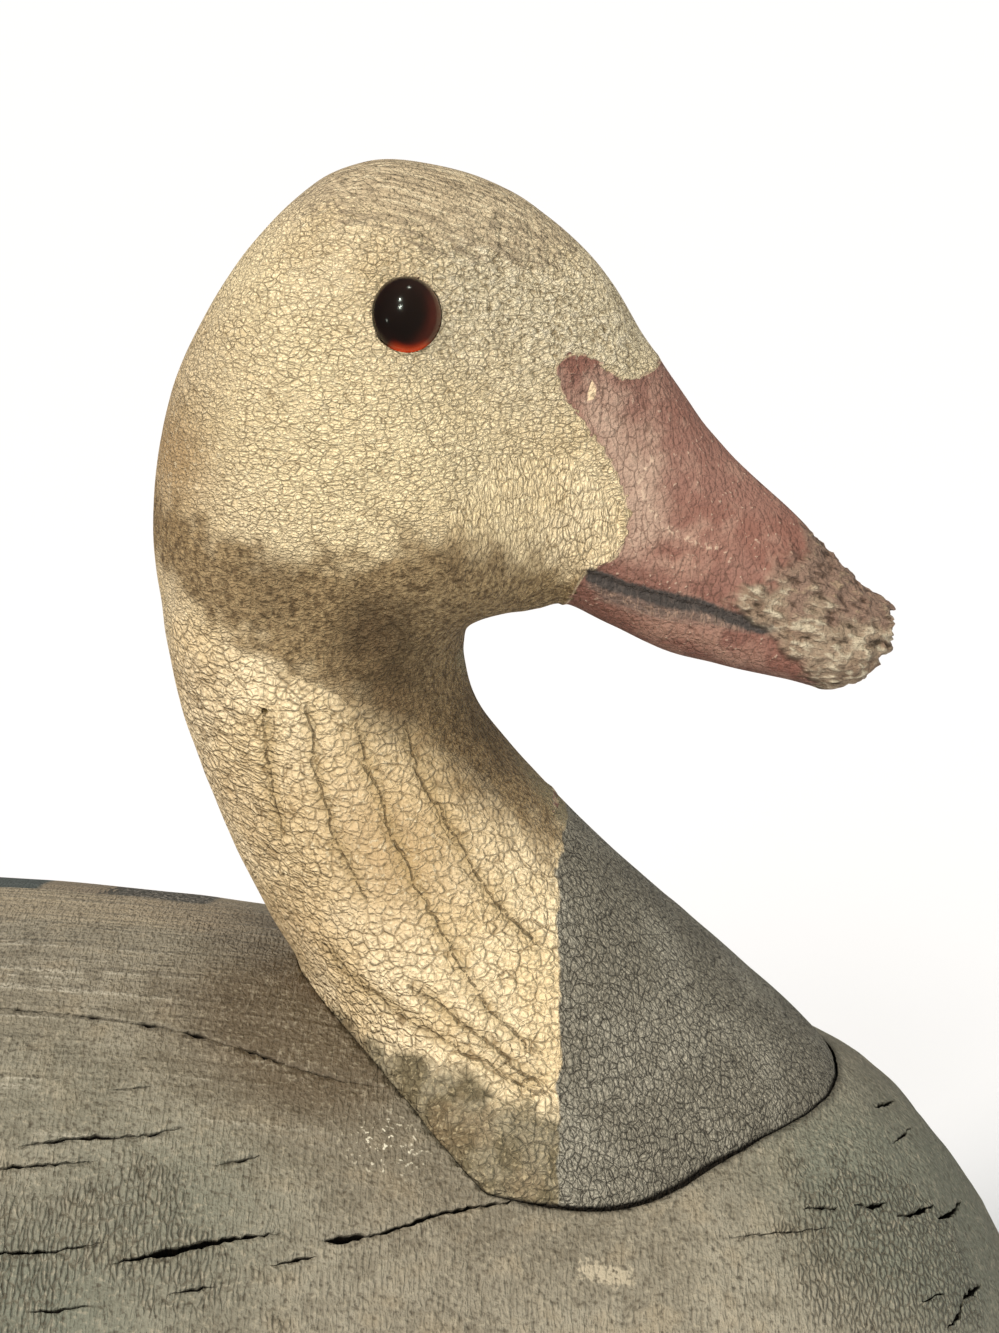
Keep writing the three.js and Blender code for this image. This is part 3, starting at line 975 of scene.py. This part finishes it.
place = vertex_places(body)
x, y, z = place.T
widest = np.interp(x / BODY_LENGTH, *np.array(BODY_STATIONS)[:, [0, 4]].T)
off_chip = [np.linalg.norm(place - p, axis=1) for p in smooth_line(PALE_CHIP, 0.5)]
marks = {name: spots(place, stains) for name, stains in BODY_STAINS.items()}
marks["deep"] = off_skin(place, body_skin)
# Painted shade, with dirt gathered in it, close round the neck's foot, fading out towards the back
marks["seam_shade_and_dirt"] = off_skin(place, head_skin) + 2 * smooth_step(x, *SEAM_SHADE_ALONG)
marks["around"] = np.arctan2(z - widest * BACK_HEIGHT, y) * GIRTH_RADIUS
marks["chip"] = CHIP_HALF - np.min(off_chip, axis=0)
marks["specks"] = SPECKS_RADIUS - np.linalg.norm(place - PALE_SPECKS, axis=1)
marks["top"] = smooth_step(z, *TOP_UP)
marks["ridge"] = smooth_step(y, *LIT_RIDGE_ACROSS) * smooth_step(x, *LIT_RIDGE_ALONG)
ends = [smooth_step(y, *pair) for pair in STRIP_ACROSS]
ends += [smooth_step(x, *pair) for pair in STRIP_ALONG]
marks["worn_side"] = np.prod(ends, axis=0)
add_marks(body, marks)

# Real brush lines and pits are a few tenths of a mm and would be lost in the picture, so
# the strokes are drawn 0.55 mm apart and the pits 0.8 mm wide. The scales of flaking paint
# have their real size, 0.85 by 2.6 mm.
body_paint, tree = new_material("flaking_grey_brown_paint")
mm = in_mm(tree)
forward = node(tree, "ShaderNodeSeparateXYZ", {"Vector": mm}, out="X")
round_body = node(tree, "ShaderNodeCombineXYZ", {"X": forward, "Y": amount(tree, "around")})
clouds = grain(tree, mm, (24, 24, 18), 3)
patches = grain(tree, mm, (7, 7, 4))
pits = grain(tree, mm, (0.8, 0.8, 0.9), 3)
brushed = summed(tree, amount(tree, "around"), (14, clouds))
brushed = node(tree, "ShaderNodeCombineXYZ", {"X": forward, "Y": brushed, "Z": patches})
strokes = grain(tree, brushed, (0.55, 3.4, 1), 3)
long_lines = grain(tree, round_body, (55, 2.1, 1), 1)
cracks, flakes = crackle(tree, round_body, (0.85, 2.6, 1), 0.09, 0.9)
flaking = ragged(tree, "flaked", patches, 0.6, 0.25, 0.7)
flaking = node(tree, "ShaderNodeMath", {0: flaking, 1: LEAST_FLAKING}, operation="MAXIMUM")
pale_lines = amount(
    tree,
    (long_lines, 0.62, 0.72),
    0.8,
    (patches, 0.35, 0.5),
    (pits, 0.35, 0.6),
    ("brown", 0.9, 0.2),
    "top",
)
far_strip = layered(
    tree,
    ["5d635f"],
    ["978872", (forward, 76, 77.5)],
    ["56534a", ragged(tree, forward, strokes, 6, 88, 90)],
    ["a0988a", (pits, 0.52, 0.6), (forward, 88, 95)],
)
colour = layered(
    tree,
    ["9a917e"],
    ["857c6a", (clouds, 0.4, 0.62)],
    ["9c8d74", (patches, 0.52, 0.7), 0.5],
    ["6f6553", (patches, 0.47, 0.3), 0.45],
    ["787868", "dull"],
    # Painted light: the ridge on the back's far side is lighter where the light falls on it
    ["b3a184", "ridge", 0.6],
    ["685b49", "brown"],
    ["aca08a", (strokes, 0.52, 0.68), 0.42, (patches, 0.4, 0.62)],
    ["594e3d", (strokes, 0.47, 0.3), 0.35],
    ["b0a48c", (pits, 0.54, 0.7), 0.45],
    ["4c4233", (pits, 0.46, 0.3), 0.65],
    ["564c3c", cracks, flaking, 0.7],
    ["b9b09c", pale_lines],
    ["aea189", ragged(tree, "chip", pits, 2.6, -0.3, 0.6)],
    ["e3dac2", ("specks", 0, 7), (pits, 0.61, 0.65)],
    [far_strip, ragged(tree, "worn_side", patches, 0.15, 0.3, 0.7)],
    # Painted shade with dirt: darker close beside the seam
    ["2c251b", ("seam_shade_and_dirt", 1.6, 0.6), 0.5],
    # Painted shade: near black down in the cracks and in the recess round the neck
    ["17120c", ragged(tree, "deep", pits, 0.15, 0.1, 0.7)],
)
height = summed(
    tree,
    0.0,
    (1.8, pits),
    (2.2, strokes, (clouds, 0.7, 0.35)),
    (3.0, long_lines, "top"),
    (2.2, patches),
    (1.6, flakes, flaking),
)
painted(tree, colour, height, BODY_RELIEF)
body.data.materials.clear()
body.data.materials.append(body_paint)
set_places(body, vertex_places(body) * MM)
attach(body, "root")
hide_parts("body")

# Paint on the head and neck: thick cream oil paint, brushed over with grey in front, red
# brown on the bill and black along the mouth, darkened further as painted shade in its groove. It is
# matt and has cracked all over into small raised cells, dirt lies under the jaw, and the crown and
# the bill's end are bare wood.
HEAD_RELIEF = 0.62
GRAIN_SLANT = math.radians(-14)

# Cells of the cracked paint, in mm along, across and up: the cream paint's, then those of
# the parts with an outline of their own
FACE_CELL = (1.7, 1.7, 1.0)
PART_CELLS = {
    "neck": (2.7, 2.7, 2.2),
    "upright": (1.2, 1.2, 2.8),
    "bill": (1.5, 1.5, 3.2),
    "grey": (1.3, 1.3, 2.1),
}

MOUTH_BOTTOM = [
    (206, 196.3), (203.1, 196.2), (198, 198), (193.7, 199.9), (187.8, 200.8), (182, 202.6),
    (176.8, 204.2), (174.6, 205.4),
]
MOUTH_FADE = [
    (206, 195.6), (197.8, 196.6), (193.7, 197.2), (187.9, 198.2), (182, 199.4), (176.6, 201.6),
    (174.4, 204.4),
]
WORN_PATH = [(185.4, 225.7), (183, 222), (185.5, 216.3), (191.2, 212), (197, 209.8)]
# Painted highlight along the neck's front edge: its line, and half its width
NECK_FRONT = [(155.7, 190.7), (159.3, 184), (164, 175.8), (172.8, 163.6)]
NECK_FRONT_HALF = 2.4

# Outlines of the paints, of worn parts and of kinds of cells, seen from the side in mm
# forward and up
PAINT_OUTLINES = {
    "bill": bill_outline,
    "mouth": [*smooth_line(MOUTH_TOP), *smooth_line(MOUTH_BOTTOM)],
    "mouth_and_fade": [*smooth_line(MOUTH_TOP), *smooth_line(MOUTH_FADE)],
    "torn": TORN_OUTLINE,
    "front_of_bill": [
        (192, 240), (183, 225), (187, 217), (193, 211), (201, 206), (201, 170), (250, 170),
        (250, 240),
    ],
    "pale_band": [
        (172.5, 236), (176, 238), (181, 233), (186, 227), (187, 219), (190, 213), (184, 210.5),
        (179, 210), (180.5, 215), (178, 222),
    ],
    "painted_tip": [(204, 212), (208, 202), (216, 198.5), (230, 196), (230, 215)],
    "chip": [(175.4, 238.4), (174.8, 236.6), (174.3, 234.7), (175.9, 235.1), (176, 236.6)],
    "crown": [
        (112, 276), (128, 264), (134.4, 264), (142.5, 261.5), (153.1, 258.2), (163.9, 255.4),
        (170, 256), (176, 262), (176, 285), (112, 285),
    ],
    "grey": [
        (170, 95), (170.3, 158), (171.5, 162.5), (175, 165), (182, 166.5), (250, 150), (250, 95),
    ],
    "low": [
        (100, 100), (118, 128), (134.5, 134.6), (143.2, 132.6), (152.4, 132.2), (156.8, 131),
        (160.2, 129.5), (165.8, 127.3), (172, 126), (172, 100),
    ],
    "upright": [(152, 203), (153, 219), (160, 227), (172, 226), (180, 218), (180, 203)],
    "neck": [
        (96, 100), (108, 200), (125, 194), (134, 190), (146, 185), (154, 176), (172, 160),
        (172, 100),
    ],
    "grime": [
        (88, 222), (109.3, 217), (117.1, 213.2), (125.2, 212.4), (134.7, 210.5), (142, 211.5),
        (147, 213.5), (153.1, 213.6), (160.8, 210.4), (170, 206.5), (179, 204), (182, 160),
        (170, 162), (164.1, 166), (152.7, 177), (144.8, 186), (134, 191.9), (126.2, 195.2),
        (116.5, 200.9), (106.9, 208.5), (88, 212),
    ],
}

# Soft round stains, seen from the side: place in mm forward and up, radius and strength
HEAD_STAINS = {
    "darkest": [
        (141.5, 198, 7, 0.7), (141, 202, 5, 0.4), (144, 187.5, 7, 0.75), (160, 174, 6, 0.4),
        (156, 181, 6, 0.45), (153, 211.5, 4.5, 0.3), (126, 206.5, 6, 0.3),
    ],
    "tan": [
        (112, 238, 12, 0.2), (108.5, 226, 8, 1.0), (109, 214, 9, 0.2), (112, 190, 6, 0.3),
        (119, 168, 6, 0.35), (147, 163, 14, 0.65), (135, 174, 10, 0.35), (142, 164, 9, 0.25),
        (145, 259, 7, 0.2), (127, 148, 8, 0.5), (178, 204, 6, 0.3), (150, 215, 10, 0.25),
    ],
    "greyed": [(166, 248, 13, 0.8), (178, 244, 9, 0.8), (157, 257, 9, 0.7), (150, 246, 7, 0.3)],
    "banded": [(112, 186, 9, 0.8), (118, 172, 10, 0.8), (126, 157, 9, 0.8), (112, 235, 8, 0.5)],
    "bill_pale": [(193, 209, 6, 0.4), (188, 197, 6, 0.5), (198, 194, 5, 0.5)],
    # Painted light: lighter where the light falls full on the cheek and the back of the head
    "bright": [
        (142, 224, 22, 1.0), (131, 245, 8, 0.5), (118, 256, 10, 1.0), (119, 232, 10, 0.6),
    ],
}


def off_furrows(place):
    """Distance in mm to the nearest furrow of the neck, below 0 on one side of it."""
    nearest = np.full(len(place), np.inf)
    for line in NECK_FURROWS:
        gap = off_line(place, smooth_line(line))[0]
        nearest = np.where(np.abs(gap) < np.abs(nearest), gap, nearest)
    return nearest


def sunk_below(place, skin):
    """Distance in mm below a skin, above 0 inside it."""
    found = [skin.find_nearest(Vector(p)) for p in place]
    return np.array([(on - Vector(p)).dot(way) for p, (on, way, _, _) in zip(place, found)])


def wrinkles(tree, place, size, width):
    """Short meandering lines, where random values pass their middle."""
    off = summed(tree, -0.5, (1, grain(tree, place, size)))
    off = node(tree, "ShaderNodeMath", {0: off}, operation="ABSOLUTE")
    return amount(tree, (off, width, 0.0))


place = vertex_places(head)
marks = {name: within(place, outline) for name, outline in PAINT_OUTLINES.items()}
marks |= {name: spots(place, stains) for name, stains in HEAD_STAINS.items()}
marks["front_edge_highlight"] = NECK_FRONT_HALF - np.abs(off_line(place, smooth_line(NECK_FRONT))[0])
marks["worn_path"] = np.abs(off_line(place, smooth_line(WORN_PATH))[0])
marks["furrow"] = furrow_share(place)
marks["furrow_line"] = off_furrows(place)
marks["deep"] = off_skin(place, head_skin)
marks["sunk"] = sunk_below(place, body_skin)
add_marks(head, marks)

# Pits of the paint are about 0.3 mm wide, and are drawn at 0.75 mm to show. The crackle
# has its real size down to about 0.5 mm, and finer cells are drawn at that size.
head_paint, tree = new_material("crackled_cream_and_red_brown_paint")
mm = in_mm(tree)
clouds = grain(tree, mm, (13, 13, 13))
blotches = grain(tree, mm, (4.5, 4.5, 4.5))
crumbs = grain(tree, mm, (1.5, 1.5, 1.5), 4)
pits = grain(tree, mm, (0.75, 0.75, 0.75))
slanted = {"Vector": mm, "Rotation": (0, GRAIN_SLANT, 0)}
slanted = node(tree, "ShaderNodeMapping", slanted)
streaks = grain(tree, slanted, (11, 0.7, 0.7), 3)
fibres = grain(tree, slanted, (2.7, 1.4, 1.25), 6)
hairlines = wrinkles(tree, mm, (1.1, 1.1, 6), 0.05)
bands = amount(tree, wrinkles(tree, slanted, (9, 9, 1.7), 0.045), "banded")

cell = FACE_CELL
for name, size in PART_CELLS.items():
    inside = node(tree, "ShaderNodeMath", {0: amount(tree, name), 1: 0}, operation="GREATER_THAN")
    cell = node(tree, "ShaderNodeMix", {0: inside, 4: cell, 5: size}, out=1, data_type="VECTOR")
cracks, cells = crackle(tree, mm, cell, 0.055, 1.0)
small_cell = node(tree, "ShaderNodeVectorMath", {0: cell, "Scale": 0.5}, operation="SCALE")
small_cracks, small_cells = crackle(tree, mm, small_cell, 0.085, 0.9)

on_bill = ragged(tree, "bill", crumbs, 1.6, -0.15, 0.15)
is_torn = ragged(tree, "torn", blotches, 5, -2.2, 1.2)
is_grey = ragged(tree, "grey", blotches, 1.6, -0.3, 0.3)
is_low = ragged(tree, "low", blotches, 3, -1.6, 2)
is_bare = ragged(tree, "crown", streaks, 8, -2, 3)
dirt = summed(tree, 0.0, (3.0, pits), (12.0, blotches), (1.0, "grime"))
dirt = amount(tree, (dirt, 3.2, 9.8))
calm = summed(tree, 0.0, (0.55, "tan"), (0.6, dirt), (0.3, "darkest"))
calm = amount(tree, (calm, 1.0, 0.0))
off_furrow = summed(tree, -1.6, (3.2, blotches), (1, "furrow_line"))
off_furrow = node(tree, "ShaderNodeMath", {0: off_furrow}, operation="ABSOLUTE")
furrow_line = amount(tree, (off_furrow, 0.32, 0.05), (pits, 0.38, 0.5), ("furrow", 0.1, 0.4))
off_rim = summed(tree, 0.1, (1, "bill"))
off_rim = node(tree, "ShaderNodeMath", {0: off_rim}, operation="ABSOLUTE")

cream = layered(
    tree,
    ["f6dfb5"],
    ["ead0a2", (clouds, 0.38, 0.62)],
    # Painted light on the cheek and the back of the head
    ["fbe5b6", "bright"],
    ["b89a6f", "tan"],
    ["ebdab6", "greyed"],
    ["ab9264", (pits, 0.42, 0.28), 0.4],
    ["fbedc9", (pits, 0.56, 0.72), 0.4],
    ["8a6f43", small_cracks, calm, 0.36],
    ["9c8252", "furrow", 0.5],
    ["6b5029", cracks, calm, (blotches, 0.28, 0.55), 0.7],
    ["7c6139", bands, 0.7],
    ["917c57", "greyed", (crumbs, 0.49, 0.36), 0.35],
    ["7f6b4a", "greyed", (pits, 0.46, 0.36), 0.5],
    ["f7ead0", "greyed", (crumbs, 0.54, 0.66), 0.3],
    ["5f4826", furrow_line, 0.65],
    # Painted shade: darker where the skin goes down into the eye sockets and the hole
    ["6b5833", ragged(tree, "deep", pits, 0.1, 0.1, 0.5)],
    ["8b7049", dirt, 0.85],
    ["5c472c", dirt, (crumbs, 0.55, 0.35), 0.6],
    ["56432a", dirt, (pits, 0.52, 0.36), 0.4],
    ["b89f73", dirt, (pits, 0.54, 0.68), 0.5],
    ["5c472e", "darkest", 0.85],
    ["43341f", "darkest", (blotches, 0.6, 0.4), 0.6],
    # Painted highlight: a lighter olive strip along the neck's front edge
    ["9c9372", ragged(tree, "front_edge_highlight", streaks, 1.2, -0.3, 1.5), 0.6],
)
bare_wood = layered(
    tree,
    ["c2ad8c"],
    ["85735c", (streaks, 0.48, 0.66), 0.85],
    ["5e503d", (pits, 0.43, 0.3), 0.8],
    ["ecdab6", (streaks, 0.46, 0.32), 0.8],
)
red = layered(
    tree,
    ["8f6658"],
    ["875b4d", (clouds, 0.4, 0.62)],
    ["a17c6b", (blotches, 0.5, 0.68), 0.6],
    ["b29480", ragged(tree, "pale_band", blotches, 6, -4.5, 4.5)],
    ["7f5649", ragged(tree, "mouth_and_fade", blotches, 2, -4.5, -1), 0.85],
    ["6f4a3b", small_cracks, 0.15],
    ["5a3e30", cracks, ragged(tree, "front_of_bill", clouds, 8, 6, -3), 0.62],
    ["c9ad94", ("worn_path", 0.7, 0.1), (pits, 0.5, 0.6)],
    ["e5c9a3", ("chip", -0.1, 0.15)],
    ["b7917c", "bill_pale", (blotches, 0.35, 0.6)],
    ["bfa38d", (pits, 0.66, 0.72), 0.7],
    ["5e3d31", (pits, 0.4, 0.28), 0.5],
)
grey = layered(
    tree,
    ["a69f8d"],
    ["8f8877", (clouds, 0.4, 0.6)],
    ["bab19c", (pits, 0.55, 0.7), 0.6],
    ["5d5648", (pits, 0.45, 0.32), 0.6],
    ["4d463a", small_cracks, 0.5],
    ["38322a", cracks, 0.9],
)
low = layered(
    tree,
    ["968a70"],
    ["75694f", (blotches, 0.4, 0.6)],
    ["8c7657", (clouds, 0.5, 0.6), 0.5],
    ["baa985", (pits, 0.56, 0.66), 0.6],
    ["564a36", small_cracks, 0.4],
    ["4a402f", cracks, 0.32],
)
painted_tip = layered(
    tree,
    ["987b69"],
    ["b0967a", (fibres, 0.55, 0.68), 0.8],
    ["5a4435", (fibres, 0.46, 0.34), 0.8],
)
torn_wood = layered(
    tree,
    ["a79078"],
    ["8d6f58", (blotches, 0.5, 0.7), 0.6],
    ["d9c9ac", (fibres, 0.49, 0.65), 0.9],
    ["463626", (fibres, 0.45, 0.3), 0.9],
    [painted_tip, ragged(tree, "painted_tip", blotches, 9, -2.0, 2.0)],
)
fade = ragged(tree, "mouth_and_fade", streaks, 1.2, -0.2, 1.6)
# Black paint of the mouth, with painted shade along its groove
mouth = layered(tree, ["443d39"], ["6a5d54", hairlines, 0.35])
colour = layered(
    tree,
    [cream],
    [bare_wood, is_bare, 0.85],
    [low, is_low],
    [grey, is_grey],
    [red, on_bill],
    # Painted highlight: a pale line where the thick paint's rim at the bill's edge catches the light
    ["e6cfa6", (off_rim, 0.3, 0.05), (blotches, 0.42, 0.55), 0.6],
    ["6a5b51", fade, 0.8],
    ["a58772", fade, hairlines, 0.6],
    [mouth, ragged(tree, "mouth", pits, 0.5, -0.3, 0.5)],
    [torn_wood, is_torn],
    # Painted shade: near black deep in the eye sockets and the hole
    ["1d1610", ragged(tree, "deep", pits, 0.1, 1.0, 1.8)],
    # Painted shade: the neck's foot goes near black where it sinks into the body's recess
    ["1e170f", ("sunk", -0.2, 0.35)],
)
raised = summed(tree, 0.95, (-0.65, on_bill), (-0.35, dirt), (-0.4, is_bare), (-0.3, "tan"))
height = summed(
    tree,
    0.0,
    (1.2, pits),
    (1.1, cells, raised),
    (0.65, small_cells, raised, (on_bill, 1.0, 0.0)),
    (-0.8, furrow_line),
    (-0.8, bands),
    (1.2, blotches),
    (3.2, crumbs, "greyed"),
    (1.6, streaks, is_bare),
    (7.5, fibres, is_torn),
)
painted(tree, colour, height, HEAD_RELIEF)
head.data.materials.clear()
head.data.materials.append(head_paint)
set_places(head, vertex_places(head) * MM)
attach(head, "root")
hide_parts("head_and_neck")
